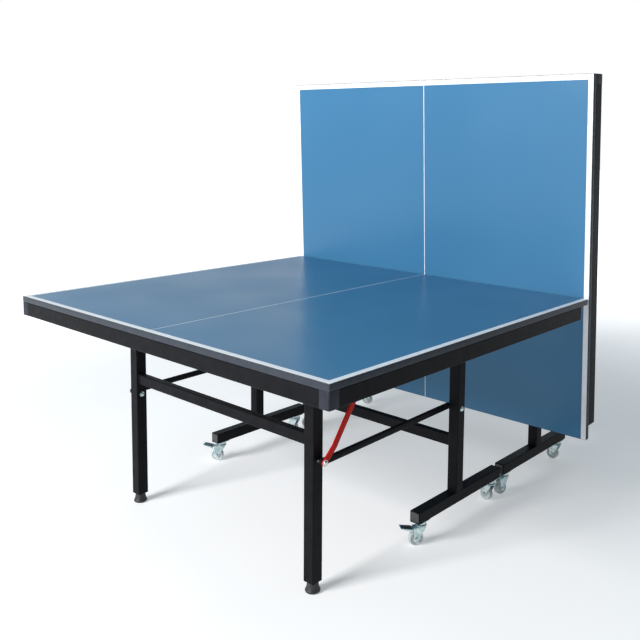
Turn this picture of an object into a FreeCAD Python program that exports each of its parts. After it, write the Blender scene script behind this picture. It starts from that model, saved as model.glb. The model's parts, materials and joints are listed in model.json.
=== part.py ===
"""Folding table tennis table: two halves, each on its own castor trolley.

Frame: X across the table, Y along the direction of play, +Z up, floor at Z = 0.
Half A (towards -Y) is set up for play; half B is folded upright with its trolley rolled in.
Each half is first built in its play position with the net line at Y = 0, then posed.
Everything is moved at the end so that the origin is the middle of the footprint, on the floor.
"""

import FreeCAD, Part
import math
import os
from FreeCAD import Placement, Rotation, Vector

X_AXIS = Vector(1, 0, 0)
Y_AXIS = Vector(0, 1, 0)
Z_AXIS = Vector(0, 0, 1)

# Table top
TABLE_WIDTH = 1525.0
HALF_LENGTH = 1370.0
TABLE_HEIGHT = 760.0
BOARD_THICKNESS = 20.0
BAND_THICKNESS = 1.5
BOARD_RADIUS = 2.0

# Apron rails and corner caps under the top
APRON_DEPTH = 48.0
APRON_THICKNESS = 20.0
APRON_NET_SETBACK = 55.0
CAP_LENGTH = 36.0
CAP_RADIUS = 5.0

# Square and rectangular tube
TUBE_WALL = 1.5
TUBE_RADIUS = 3.0
POST_SIZE = 40.0
LEG_SIZE = 40.0
RAIL_DEPTH = 16.0
RAIL_WIDTH = 30.0
CROSSBAR_THICKNESS = 25.0

# Underframe rails, measured from the net line
MID_RAIL_AT = 360.0
LEG_RAIL_AT = 1155.0
LONG_RAIL_X = 250.0
NET_STRIP_AT = 75.0
NET_STRIP_THICKNESS = 4.0
NET_STRIP_HALF_SPAN = 700.0

# Trolley
PIVOT_FROM_NET = 482.0
PIVOT_BELOW_TOP = 63.0
POST_X = 520.0
POST_ABOVE_PIVOT = 16.0
BAR_BOTTOM = 84.0
BAR_OUTER_REACH = 228.0
BAR_NET_REACH = 265.0
TROLLEY_CROSSBAR_Z = 298.0
TROLLEY_CROSSBAR_HEIGHT = 38.0
PLUG_FLANGE = 3.0
PLUG_DEPTH = 18.0

# Folding legs
LEG_X = 447.0
LEG_FROM_NET = 1107.0
LEG_HINGE_BELOW_TOP = 72.0
LEG_ABOVE_HINGE = 16.0
LEG_CROSSBAR_Z = 465.0
LEG_CROSSBAR_HEIGHT = 36.0
FOOT_HEIGHT = 34.0
FOOT_RADIUS = 24.0
FOOT_TOP_RADIUS = 18.0
FOOT_EDGE_RADIUS = 2.5

# Leg links: the short sides of each parallelogram are this long
LINK_DROP = 280.0
LINK_X = 483.5
LINK_THICKNESS = 12.0
LINK_HEIGHT = 20.0

# Red safety lever, in the plane of the leg link's bolt, measured from that bolt
LEVER_X = 493.0
LEVER_THICKNESS = 5.0
LEVER_WIDTH = 20.0
LEVER_BEND = (40.0, 38.0)
LEVER_UPPER_LENGTH = 242.0
LEVER_UPPER_ANGLE = 54.5
CATCH_PIN_BACK = 10.0
CATCH_PIN_RADIUS = 5.0
CATCH_PIN_BEYOND = 1.5
CATCH_NOTCH_RADIUS = 8.0
CATCH_PLATE_X = 486.0
CATCH_PLATE_WIDTH = 30.0

# Brackets, bolts and running clearances
PLATE = 4.0
BRACKET_GAP = 2.5
PIVOT_BRACKET_HALF = 30.0
LEG_BRACKET_HALF = 22.0
BRACKET_BELOW_AXIS = 15.0
BRACKET_CORNER_RADIUS = 14.0
PIVOT_BOLT_RADIUS = 5.0
SMALL_BOLT_RADIUS = 4.0
RUNNING = 0.1
SIDE_GAP = 0.3
HEAD_RADIUS = 9.0
SMALL_HEAD_RADIUS = 8.0
SPACER_RADIUS = 7.0
HEAD_HEIGHT = 5.0
LOW_HEAD_HEIGHT = 2.7
OPEN_PIVOT_CLEARANCE = 0.8
WASHER_RADIUS = 10.0
WASHER_THICKNESS = 1.5

# Modelling helpers: how far a cutting shape passes beyond a face and a joined one into it,
# and how nearly an edge must run along an axis to count as parallel to it
OVERLAP = 1.0
PARALLEL = 0.99

# Castors, built with the swivel axis at X = Y = 0 and the wheel towards +X
CASTOR_FROM_END = 35.0
WHEEL_RADIUS = 25.0
WHEEL_WIDTH = 20.0
WHEEL_TRAIL = 18.0
TREAD_EDGE_RADIUS = 4.0
RIM_THICKNESS = 7.0
HUB_RADIUS = 8.3
HUB_RECESS = 3.0
FORK_GAP = 1.5
FORK_PLATE = 2.5
FORK_CROWN_TOP = 66.0
FORK_BACK = -13.0
FORK_FRONT = 29.0
CROWN_FRONT = 17.0
AXLE_BOSS_RADIUS = 9.0
AXLE_BEYOND = 3.0
AXLE_NUT_RADIUS = 6.5
AXLE_NUT_HEIGHT = 4.0
SWIVEL_DISC_TOP = 70.0
SWIVEL_DISC_RADIUS = 19.0
STEM_CUP_BOTTOM = 70.5
STEM_PLATE = (38.0, 56.0, 3.0)
STEM_CUP_RADIUS = 16.0
STEM_CUP_TOP_RADIUS = 17.5
PEDAL_PIVOT = (22.0, 57.0)
PEDAL_PIN_RADIUS = 2.5
PEDAL_BARREL_RADIUS = 5.0
PEDAL_END = (74.0, 66.0)
PEDAL_TREAD_START = 33.0
PEDAL_TREAD_WIDTH = 32.0
PEDAL_THICKNESS = 3.0

# How half B stands: folded a little past upright, its trolley rolled in towards half A
FOLD_ANGLE = 92.2
HALF_B_SURFACE_AT_FOOT = 29.0
LEVER_PER_FOLD = 0.95

# Castor headings in degrees, for the four corners of each trolley: (side, end) -> heading
HEADINGS = {
    "a": {("right", "outer"): 235.0, ("left", "outer"): 215.0,
          ("right", "net"): 170.0, ("left", "net"): 190.0},
    "b": {("right", "outer"): 180.0, ("left", "outer"): 200.0,
          ("right", "net"): 255.0, ("left", "net"): 240.0},
}

BOARD_BOTTOM = TABLE_HEIGHT - BOARD_THICKNESS
APRON_BOTTOM = BOARD_BOTTOM - APRON_DEPTH
PIVOT_Z = TABLE_HEIGHT - PIVOT_BELOW_TOP
LEG_HINGE_Z = TABLE_HEIGHT - LEG_HINGE_BELOW_TOP
LINK_POST_Z = PIVOT_Z - LINK_DROP
LINK_LEG_Z = LEG_HINGE_Z - LINK_DROP
POST_INNER_X = POST_X - POST_SIZE / 2
POST_OUTER_X = POST_X + POST_SIZE / 2
LEG_OUTER_X = LEG_X + LEG_SIZE / 2
LEG_INNER_X = LEG_X - LEG_SIZE / 2
FOLD = math.radians(FOLD_ANGLE)
PIVOT_B_Y = HALF_B_SURFACE_AT_FOOT + PIVOT_FROM_NET * math.cos(FOLD) + PIVOT_BELOW_TOP * math.sin(FOLD)
FOOTPRINT_MIN_Y = -HALF_LENGTH
FOOTPRINT_MAX_Y = PIVOT_B_Y + BAR_OUTER_REACH
ORIGIN_Y = (FOOTPRINT_MIN_Y + FOOTPRINT_MAX_Y) / 2


def block(low, high):
    """Box between two opposite corners."""
    size = [b - a for a, b in zip(low, high)]
    return Part.makeBox(size[0], size[1], size[2], Vector(*low))


def rounded_block(low, high, axis, radius):
    """Box whose edges along one axis are rounded."""
    shape = block(low, high)
    edges = [e for e in shape.Edges if abs(e.tangentAt(e.FirstParameter).dot(axis)) > PARALLEL]
    return shape.makeFillet(radius, edges)


def tube(low, high, axis):
    """Rectangular tube between two corners, open at both ends along the axis."""
    along = [abs(c) for c in axis]
    inner_low = [v - OVERLAP if a else v + TUBE_WALL for v, a in zip(low, along)]
    inner_high = [v + OVERLAP if a else v - TUBE_WALL for v, a in zip(high, along)]
    outer = rounded_block(low, high, axis, TUBE_RADIUS)
    return outer.cut(rounded_block(inner_low, inner_high, axis, TUBE_RADIUS - TUBE_WALL))


def rod(radius, x_from, x_to, y, z):
    """Round bar along X."""
    return Part.makeCylinder(radius, x_to - x_from, Vector(x_from, y, z), X_AXIS)


def mirrored(shape):
    """The same shape on the other side of the table's centre plane."""
    return shape.mirror(Vector(0, 0, 0), X_AXIS)


def both_sides(shape):
    """A shape and its mirror image, as separate solids."""
    return [shape, mirrored(shape)]


def fused(first, *others):
    """One solid from overlapping shapes."""
    return first.multiFuse(list(others)).removeSplitter()


def make_board():
    low = (-TABLE_WIDTH / 2 + BAND_THICKNESS, -HALF_LENGTH + BAND_THICKNESS, BOARD_BOTTOM)
    high = (TABLE_WIDTH / 2 - BAND_THICKNESS, -BAND_THICKNESS, TABLE_HEIGHT)
    return rounded_block(low, high, Z_AXIS, BOARD_RADIUS)


def make_edge_bands():
    """Four plastic strips glued round the board's edge."""
    half = TABLE_WIDTH / 2
    side = block((half - BAND_THICKNESS, -HALF_LENGTH + BAND_THICKNESS, BOARD_BOTTOM),
                 (half, -BAND_THICKNESS, TABLE_HEIGHT))
    end = block((-half, -HALF_LENGTH, BOARD_BOTTOM),
                (half, -HALF_LENGTH + BAND_THICKNESS, TABLE_HEIGHT))
    net = block((-half, -BAND_THICKNESS, BOARD_BOTTOM), (half, 0, TABLE_HEIGHT))
    return both_sides(side) + [end, net]


def make_end_apron():
    half = TABLE_WIDTH / 2 - CAP_LENGTH
    return tube((-half, -HALF_LENGTH, APRON_BOTTOM),
                (half, -HALF_LENGTH + APRON_THICKNESS, BOARD_BOTTOM), X_AXIS)


def make_side_apron():
    half = TABLE_WIDTH / 2
    return tube((half - APRON_THICKNESS, -HALF_LENGTH + CAP_LENGTH, APRON_BOTTOM),
                (half, -APRON_NET_SETBACK, BOARD_BOTTOM), Y_AXIS)


def make_corner_cap():
    """L-shaped moulding that joins the end apron to a side apron, round at the outer corner."""
    half = TABLE_WIDTH / 2
    low = (half - CAP_LENGTH, -HALF_LENGTH, APRON_BOTTOM)
    high = (half, -HALF_LENGTH + CAP_LENGTH, BOARD_BOTTOM)
    corner = block(low, high)
    outer_edge = [e for e in corner.Edges
                  if e.CenterOfMass.x > half - OVERLAP and e.CenterOfMass.y < OVERLAP - HALF_LENGTH
                  and abs(e.tangentAt(e.FirstParameter).z) > PARALLEL]
    corner = corner.makeFillet(CAP_RADIUS, outer_edge)
    recess = block((low[0] - OVERLAP, low[1] + APRON_THICKNESS, low[2] - OVERLAP),
                   (high[0] - APRON_THICKNESS, high[1] + OVERLAP, high[2] + OVERLAP))
    return corner.cut(recess)


def make_underframe():
    """Cross rails, length rails and the flat strip near the net, all against the board."""
    top = BOARD_BOTTOM
    inner = TABLE_WIDTH / 2 - APRON_THICKNESS
    half_rail = RAIL_WIDTH / 2
    solids = []
    for at in (MID_RAIL_AT, LEG_RAIL_AT):
        solids.append(tube((-inner, -at - half_rail, top - RAIL_DEPTH),
                           (inner, -at + half_rail, top), X_AXIS))
    spans = ((-LEG_RAIL_AT + half_rail, -MID_RAIL_AT - half_rail),
             (-HALF_LENGTH + APRON_THICKNESS, -LEG_RAIL_AT - half_rail))
    for start, end in spans:
        solids += both_sides(tube((LONG_RAIL_X - half_rail, start, top - RAIL_DEPTH),
                                  (LONG_RAIL_X + half_rail, end, top), Y_AXIS))
    solids.append(block((-NET_STRIP_HALF_SPAN, -NET_STRIP_AT - half_rail, top - NET_STRIP_THICKNESS),
                        (NET_STRIP_HALF_SPAN, -NET_STRIP_AT + half_rail, top)))
    return solids


def make_saddle(centre_x, y, axis_z, gap_half, plate_half, hole_radius):
    """U-shaped bracket under the board, with a bolt hole through both cheeks."""
    inner = gap_half + BRACKET_GAP
    outer = inner + PLATE
    bottom = axis_z - BRACKET_BELOW_AXIS
    body = block((centre_x - outer, y - plate_half, bottom),
                 (centre_x + outer, y + plate_half, BOARD_BOTTOM))
    slot = block((centre_x - inner, y - plate_half - OVERLAP, bottom - OVERLAP),
                 (centre_x + inner, y + plate_half + OVERLAP, BOARD_BOTTOM - PLATE))
    hole = rod(hole_radius, centre_x - outer - OVERLAP, centre_x + outer + OVERLAP, y, axis_z)
    lower_edges = [e for e in body.Edges
                   if abs(e.tangentAt(e.FirstParameter).x) > PARALLEL
                   and e.CenterOfMass.z < bottom + OVERLAP]
    return body.makeFillet(BRACKET_CORNER_RADIUS, lower_edges).cut(slot).cut(hole)


def make_pivot_bracket():
    return make_saddle(POST_X, -PIVOT_FROM_NET, PIVOT_Z, POST_SIZE / 2, PIVOT_BRACKET_HALF,
                       PIVOT_BOLT_RADIUS + RUNNING)


def make_leg_bracket():
    return make_saddle(LEG_X, -LEG_FROM_NET, LEG_HINGE_Z, LEG_SIZE / 2, LEG_BRACKET_HALF,
                       SMALL_BOLT_RADIUS)


def lever_points():
    """Centre line of the lever: its bolt, its bend and its upper end, as (Y, Z)."""
    bolt = (-LEG_FROM_NET, LINK_LEG_Z)
    bend = (bolt[0] + LEVER_BEND[0], bolt[1] + LEVER_BEND[1])
    angle = math.radians(LEVER_UPPER_ANGLE)
    end = (bend[0] + LEVER_UPPER_LENGTH * math.cos(angle),
           bend[1] + LEVER_UPPER_LENGTH * math.sin(angle))
    return bolt, bend, end


def catch_pin_centre():
    """The pin lies on the lever's lower edge, a little short of its upper end."""
    end = lever_points()[2]
    angle = math.radians(LEVER_UPPER_ANGLE)
    half = LEVER_WIDTH / 2
    y = end[0] - CATCH_PIN_BACK * math.cos(angle) + half * math.sin(angle)
    z = end[1] - CATCH_PIN_BACK * math.sin(angle) - half * math.cos(angle)
    return y, z


def make_catch():
    """Plate under the board with the pin that the safety lever hooks behind."""
    y, z = catch_pin_centre()
    half = CATCH_PLATE_WIDTH / 2
    plate = block((CATCH_PLATE_X - PLATE / 2, y - half, z - half),
                  (CATCH_PLATE_X + PLATE / 2, y + half, BOARD_BOTTOM))
    foot = block((CATCH_PLATE_X - CATCH_PLATE_WIDTH, y - half, BOARD_BOTTOM - PLATE),
                 (CATCH_PLATE_X, y + half, BOARD_BOTTOM))
    pin_end = LEVER_X + LEVER_THICKNESS / 2 + CATCH_PIN_BEYOND
    pin = rod(CATCH_PIN_RADIUS, CATCH_PLATE_X, pin_end, y, z)
    return fused(plate, foot, pin)


def flat_link(points, width, thickness, x):
    """Flat bar with round ends through a row of (Y, Z) points, centred on the plane X = x."""
    pieces = []
    for (y0, z0), (y1, z1) in zip(points[:-1], points[1:]):
        length = math.hypot(y1 - y0, z1 - z0)
        bar = block((x - thickness / 2, 0, -width / 2), (x + thickness / 2, length, width / 2))
        angle = math.degrees(math.atan2(z1 - z0, y1 - y0))
        bar.Placement = Placement(Vector(0, y0, z0), Rotation(X_AXIS, angle))
        pieces.append(bar)
    for y, z in points:
        pieces.append(rod(width / 2, x - thickness / 2, x + thickness / 2, y, z))
    return fused(*pieces)


def make_link():
    """Straight link from the leg bolt to the post bolt; the leg end is the open pivot."""
    leg_end = (-LEG_FROM_NET, LINK_LEG_Z)
    post_end = (-PIVOT_FROM_NET, LINK_POST_Z)
    link = flat_link((leg_end, post_end), LINK_HEIGHT, LINK_THICKNESS, LINK_X)
    x_from = LINK_X - LINK_THICKNESS
    x_to = LINK_X + LINK_THICKNESS
    link = link.cut(rod(SMALL_BOLT_RADIUS + OPEN_PIVOT_CLEARANCE, x_from, x_to, *leg_end))
    return link.cut(rod(SMALL_BOLT_RADIUS + RUNNING, x_from, x_to, *post_end))


def make_lever():
    bolt, bend, end = lever_points()
    lever = flat_link((bolt, bend, end), LEVER_WIDTH, LEVER_THICKNESS, LEVER_X)
    x_from = LEVER_X - LEVER_THICKNESS
    x_to = LEVER_X + LEVER_THICKNESS
    lever = lever.cut(rod(SMALL_BOLT_RADIUS + RUNNING, x_from, x_to, *bolt))
    return lever.cut(rod(CATCH_NOTCH_RADIUS, x_from, x_to, *catch_pin_centre()))


def make_post():
    y = -PIVOT_FROM_NET
    half = POST_SIZE / 2
    post = tube((POST_INNER_X, y - half, BAR_BOTTOM + POST_SIZE),
                (POST_OUTER_X, y + half, PIVOT_Z + POST_ABOVE_PIVOT), Z_AXIS)
    hole_ends = (POST_INNER_X - OVERLAP, POST_OUTER_X + OVERLAP)
    post = post.cut(rod(PIVOT_BOLT_RADIUS, *hole_ends, y, PIVOT_Z))
    return post.cut(rod(SMALL_BOLT_RADIUS, *hole_ends, y, LINK_POST_Z))


def make_foot_bar():
    low = (POST_INNER_X, -PIVOT_FROM_NET - BAR_OUTER_REACH + PLUG_FLANGE, BAR_BOTTOM)
    high = (POST_OUTER_X, -PIVOT_FROM_NET + BAR_NET_REACH - PLUG_FLANGE, BAR_BOTTOM + POST_SIZE)
    return tube(low, high, Y_AXIS)


def make_plug(end_y, inward):
    """Plug in the end of a foot bar: a flange and a shank inside the tube."""
    flange_in = end_y + inward * PLUG_FLANGE
    shank_in = end_y + inward * PLUG_DEPTH
    bar_top = BAR_BOTTOM + POST_SIZE
    flange = rounded_block((POST_INNER_X, min(end_y, flange_in), BAR_BOTTOM),
                           (POST_OUTER_X, max(end_y, flange_in), bar_top), Y_AXIS, TUBE_RADIUS)
    shank = rounded_block((POST_INNER_X + TUBE_WALL, min(end_y, shank_in), BAR_BOTTOM + TUBE_WALL),
                          (POST_OUTER_X - TUBE_WALL, max(end_y, shank_in), bar_top - TUBE_WALL),
                          Y_AXIS, TUBE_RADIUS - TUBE_WALL)
    return fused(flange, shank)


def make_plugs():
    outer = make_plug(-PIVOT_FROM_NET - BAR_OUTER_REACH, 1)
    net = make_plug(-PIVOT_FROM_NET + BAR_NET_REACH, -1)
    return both_sides(outer) + both_sides(net)


def make_crossbar(half_span, y, z, height):
    half = CROSSBAR_THICKNESS / 2
    return tube((-half_span, y - half, z - height / 2),
                (half_span, y + half, z + height / 2), X_AXIS)


def make_pivot_bolt():
    """Bolt that carries the top on a post, low-headed inside so that the link can pass."""
    y = -PIVOT_FROM_NET
    reach = BRACKET_GAP + PLATE + SIDE_GAP
    inner = POST_INNER_X - reach
    outer = POST_OUTER_X + reach
    shaft = rod(PIVOT_BOLT_RADIUS, inner - OVERLAP, outer + OVERLAP, y, PIVOT_Z)
    low_head = rod(HEAD_RADIUS, inner - LOW_HEAD_HEIGHT, inner, y, PIVOT_Z)
    head = rod(HEAD_RADIUS, outer, outer + HEAD_HEIGHT, y, PIVOT_Z)
    return fused(shaft, low_head, head)


def make_post_link_bolt():
    """Bolt through a post that carries the link on a spacer."""
    y = -PIVOT_FROM_NET
    link_inner = LINK_X - LINK_THICKNESS / 2 - SIDE_GAP
    link_outer = LINK_X + LINK_THICKNESS / 2 + SIDE_GAP
    shaft = rod(SMALL_BOLT_RADIUS, link_inner - OVERLAP, POST_OUTER_X + OVERLAP, y, LINK_POST_Z)
    nut = rod(SMALL_HEAD_RADIUS, link_inner - HEAD_HEIGHT, link_inner, y, LINK_POST_Z)
    spacer = rod(SPACER_RADIUS, link_outer, POST_INNER_X, y, LINK_POST_Z)
    head = rod(SMALL_HEAD_RADIUS, POST_OUTER_X, POST_OUTER_X + HEAD_HEIGHT, y, LINK_POST_Z)
    return fused(shaft, nut, spacer, head)


def make_leg():
    y = -LEG_FROM_NET
    half = LEG_SIZE / 2
    leg = tube((LEG_INNER_X, y - half, FOOT_HEIGHT),
               (LEG_OUTER_X, y + half, LEG_HINGE_Z + LEG_ABOVE_HINGE), Z_AXIS)
    hole_ends = (LEG_INNER_X - OVERLAP, LEG_OUTER_X + OVERLAP)
    leg = leg.cut(rod(SMALL_BOLT_RADIUS + RUNNING, *hole_ends, y, LEG_HINGE_Z))
    return leg.cut(rod(SMALL_BOLT_RADIUS, *hole_ends, y, LINK_LEG_Z))


def make_foot():
    """Tapered rubber foot with a shank inside the leg tube."""
    centre = Vector(LEG_X, -LEG_FROM_NET, 0)
    foot = Part.makeCone(FOOT_RADIUS, FOOT_TOP_RADIUS, FOOT_HEIGHT, centre)
    rim = [e for e in foot.Edges if len(e.Vertexes) == 1 and e.CenterOfMass.z < OVERLAP]
    foot = foot.makeFillet(FOOT_EDGE_RADIUS, rim[:1])
    inner = LEG_SIZE / 2 - TUBE_WALL
    shank = rounded_block((LEG_X - inner, -LEG_FROM_NET - inner, FOOT_HEIGHT - OVERLAP),
                          (LEG_X + inner, -LEG_FROM_NET + inner, FOOT_HEIGHT + PLUG_DEPTH),
                          Z_AXIS, TUBE_RADIUS - TUBE_WALL)
    return fused(foot, shank)


def make_leg_hinge_bolt():
    """Bolt held by the leg bracket, which the leg turns on."""
    y = -LEG_FROM_NET
    inner = LEG_INNER_X - BRACKET_GAP - PLATE
    outer = LEG_OUTER_X + BRACKET_GAP + PLATE
    shaft = rod(SMALL_BOLT_RADIUS, inner - OVERLAP, outer + OVERLAP, y, LEG_HINGE_Z)
    nut = rod(SMALL_HEAD_RADIUS, inner - HEAD_HEIGHT, inner, y, LEG_HINGE_Z)
    head = rod(SMALL_HEAD_RADIUS, outer, outer + LOW_HEAD_HEIGHT, y, LEG_HINGE_Z)
    return fused(shaft, nut, head)


def make_leg_link_bolt(head_from):
    """Bolt through a leg with a spacer to the link and a broad washer outside it."""
    y = -LEG_FROM_NET
    link_inner = LINK_X - LINK_THICKNESS / 2 - SIDE_GAP
    shaft = rod(SMALL_BOLT_RADIUS, LEG_INNER_X - OVERLAP, head_from + OVERLAP, y, LINK_LEG_Z)
    nut = rod(SMALL_HEAD_RADIUS, LEG_INNER_X - HEAD_HEIGHT, LEG_INNER_X, y, LINK_LEG_Z)
    spacer = rod(SPACER_RADIUS, LEG_OUTER_X, link_inner, y, LINK_LEG_Z)
    washer = rod(WASHER_RADIUS, head_from, head_from + WASHER_THICKNESS, y, LINK_LEG_Z)
    head = rod(SPACER_RADIUS, head_from + OVERLAP, head_from + HEAD_HEIGHT, y, LINK_LEG_Z)
    return fused(shaft, nut, spacer, washer, head)


def make_leg_bolts():
    """The link bolts; the right-hand one is longer because it also carries the safety lever."""
    behind_lever = LEVER_X + LEVER_THICKNESS / 2 + SIDE_GAP
    behind_link = LINK_X + LINK_THICKNESS / 2 + SIDE_GAP
    return [make_leg_link_bolt(behind_lever), mirrored(make_leg_link_bolt(behind_link))]


def across(radius, y_from, y_to, x, z):
    """Round bar along Y."""
    return Part.makeCylinder(radius, y_to - y_from, Vector(x, y_from, z), Y_AXIS)


def make_wheel():
    """Castor wheel with rounded tread and a recessed face on both sides."""
    half = WHEEL_WIDTH / 2
    wheel = across(WHEEL_RADIUS, -half, half, WHEEL_TRAIL, WHEEL_RADIUS)
    wheel = wheel.makeFillet(TREAD_EDGE_RADIUS, [e for e in wheel.Edges if len(e.Vertexes) == 1])
    for start in (-half, half - HUB_RECESS):
        ring = across(WHEEL_RADIUS - RIM_THICKNESS, start, start + HUB_RECESS, WHEEL_TRAIL, WHEEL_RADIUS)
        hub = across(HUB_RADIUS, start, start + HUB_RECESS, WHEEL_TRAIL, WHEEL_RADIUS)
        wheel = wheel.cut(ring.cut(hub))
    return wheel.cut(across(SMALL_BOLT_RADIUS + RUNNING, -half - OVERLAP, half + OVERLAP,
                            WHEEL_TRAIL, WHEEL_RADIUS))


def make_fork_cheek(start_y):
    """One side plate of the fork, narrowing down to the axle."""
    corners = [(FORK_BACK, FORK_CROWN_TOP), (FORK_FRONT, FORK_CROWN_TOP),
               (WHEEL_TRAIL + AXLE_BOSS_RADIUS, WHEEL_RADIUS),
               (WHEEL_TRAIL - AXLE_BOSS_RADIUS, WHEEL_RADIUS)]
    wire = Part.makePolygon([Vector(x, start_y, z) for x, z in corners + corners[:1]])
    plate = Part.Face(wire).extrude(Vector(0, FORK_PLATE, 0))
    boss = across(AXLE_BOSS_RADIUS, start_y, start_y + FORK_PLATE, WHEEL_TRAIL, WHEEL_RADIUS)
    return plate.fuse(boss)


def make_fork(braked):
    """Fork: crown, two cheeks, swivel disc and axle; a braked one also holds the pedal's pin."""
    inner = WHEEL_WIDTH / 2 + FORK_GAP
    outer = inner + FORK_PLATE
    end = outer + AXLE_BEYOND
    crown = block((FORK_BACK, -outer, FORK_CROWN_TOP - FORK_PLATE), (CROWN_FRONT, outer, FORK_CROWN_TOP))
    disc = Part.makeCylinder(SWIVEL_DISC_RADIUS, SWIVEL_DISC_TOP - FORK_CROWN_TOP,
                             Vector(0, 0, FORK_CROWN_TOP))
    axle = across(SMALL_BOLT_RADIUS, -end, end, WHEEL_TRAIL, WHEEL_RADIUS)
    nuts = [across(AXLE_NUT_RADIUS, y, y + AXLE_NUT_HEIGHT, WHEEL_TRAIL, WHEEL_RADIUS)
            for y in (-outer - AXLE_NUT_HEIGHT, outer)]
    pieces = [disc, make_fork_cheek(inner), make_fork_cheek(-outer), axle] + nuts
    if braked:
        pieces.append(across(PEDAL_PIN_RADIUS, -outer, outer, *PEDAL_PIVOT))
    fork = fused(crown, *pieces)
    hole_bottom = FORK_CROWN_TOP - FORK_PLATE - OVERLAP
    return fork.cut(Part.makeCylinder(PIVOT_BOLT_RADIUS + RUNNING, SWIVEL_DISC_TOP + OVERLAP - hole_bottom,
                                      Vector(0, 0, hole_bottom)))


def make_pedal():
    """Brake pedal: barrel on its pin, arm between the cheeks, and a wider tread outside them."""
    half = WHEEL_WIDTH / 2
    pivot_x, pivot_z = PEDAL_PIVOT
    end_x, end_z = PEDAL_END
    rise = (end_z - pivot_z) / (end_x - pivot_x)
    pieces = []
    for start, width in ((pivot_x, 2 * half), (PEDAL_TREAD_START, PEDAL_TREAD_WIDTH)):
        low = pivot_z + rise * (start - pivot_x)
        corners = [(start, low), (end_x, end_z), (end_x, end_z + PEDAL_THICKNESS),
                   (start, low + PEDAL_THICKNESS)]
        wire = Part.makePolygon([Vector(x, -width / 2, z) for x, z in corners + corners[:1]])
        pieces.append(Part.Face(wire).extrude(Vector(0, width, 0)))
    pedal = fused(across(PEDAL_BARREL_RADIUS, -half, half, *PEDAL_PIVOT), *pieces)
    return pedal.cut(across(PEDAL_PIN_RADIUS + RUNNING, -half - OVERLAP, half + OVERLAP, *PEDAL_PIVOT))


def make_stem():
    """Castor plate under the foot bar, with the bearing cup and the kingpin."""
    width, length, thickness = STEM_PLATE
    plate_bottom = BAR_BOTTOM - thickness
    plate = block((-width / 2, -length / 2, plate_bottom), (width / 2, length / 2, BAR_BOTTOM))
    cup = Part.makeCone(STEM_CUP_RADIUS, STEM_CUP_TOP_RADIUS, plate_bottom - STEM_CUP_BOTTOM,
                        Vector(0, 0, STEM_CUP_BOTTOM))
    head_top = FORK_CROWN_TOP - FORK_PLATE - SIDE_GAP
    kingpin = Part.makeCylinder(PIVOT_BOLT_RADIUS, STEM_CUP_BOTTOM + OVERLAP - head_top,
                                Vector(0, 0, head_top))
    head = Part.makeCylinder(HEAD_RADIUS, LOW_HEAD_HEIGHT, Vector(0, 0, head_top - LOW_HEAD_HEIGHT))
    return fused(plate, cup, kingpin, head)


def castor_places():
    """(side, end) of each castor of a trolley in play position, with its (X, Y)."""
    places = []
    for end, y in (("outer", -PIVOT_FROM_NET - BAR_OUTER_REACH + CASTOR_FROM_END),
                   ("net", -PIVOT_FROM_NET + BAR_NET_REACH - CASTOR_FROM_END)):
        places.append(("right", end, POST_X, y))
        places.append(("left", end, -POST_X, y))
    return places


def make_stems():
    solids = []
    for _, _, x, y in castor_places():
        stem = make_stem()
        stem.translate(Vector(x, y, 0))
        solids.append(stem)
    return solids


def export(name, solids, placement):
    """Write one node, posed and moved to the part's own origin."""
    solids = solids if isinstance(solids, list) else [solids]
    shift = Placement(Vector(0, -ORIGIN_Y, 0), Rotation())
    moved = []
    for solid in solids:
        copy = solid.copy()
        copy.Placement = shift.multiply(placement).multiply(copy.Placement)
        moved.append(copy)
    shape = moved[0] if len(moved) == 1 else Part.makeCompound(moved)
    shape.exportStep("parts/" + name + ".step")


def half_nodes():
    return {
        "board": make_board(),
        "edge_bands": make_edge_bands(),
        "end_apron": make_end_apron(),
        "side_aprons": both_sides(make_side_apron()),
        "corner_caps": both_sides(make_corner_cap()),
        "underframe": make_underframe(),
        "pivot_brackets": both_sides(make_pivot_bracket()),
        "leg_brackets": both_sides(make_leg_bracket()) + [make_catch()] + both_sides(make_leg_hinge_bolt()),
    }


def trolley_nodes():
    return {
        "foot_bars": both_sides(make_foot_bar()),
        "posts": both_sides(make_post()),
        "trolley_crossbar": make_crossbar(POST_INNER_X, -PIVOT_FROM_NET, TROLLEY_CROSSBAR_Z,
                                          TROLLEY_CROSSBAR_HEIGHT),
        "bar_plugs": make_plugs(),
        "post_bolts": both_sides(make_pivot_bolt()) + both_sides(make_post_link_bolt()),
        "castor_stems": make_stems(),
    }


def leg_nodes():
    return {
        "legs": both_sides(make_leg()),
        "leg_crossbar": make_crossbar(LEG_INNER_X, -LEG_FROM_NET, LEG_CROSSBAR_Z, LEG_CROSSBAR_HEIGHT),
        "leg_feet": both_sides(make_foot()),
        "leg_bolts": make_leg_bolts(),
    }


def turn(y, z, degrees):
    """Placement that turns about an axis along X through (y, z)."""
    return Placement(Vector(0, 0, 0), Rotation(X_AXIS, degrees), Vector(0, y, z))


def leg_bolt_after(fold):
    """Where the leg hinge has moved to, relative to its play position, once the half has folded."""
    start = Vector(0, -LEG_FROM_NET, LEG_HINGE_Z)
    return turn(-PIVOT_FROM_NET, PIVOT_Z, -fold).multVec(start) - start


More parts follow.
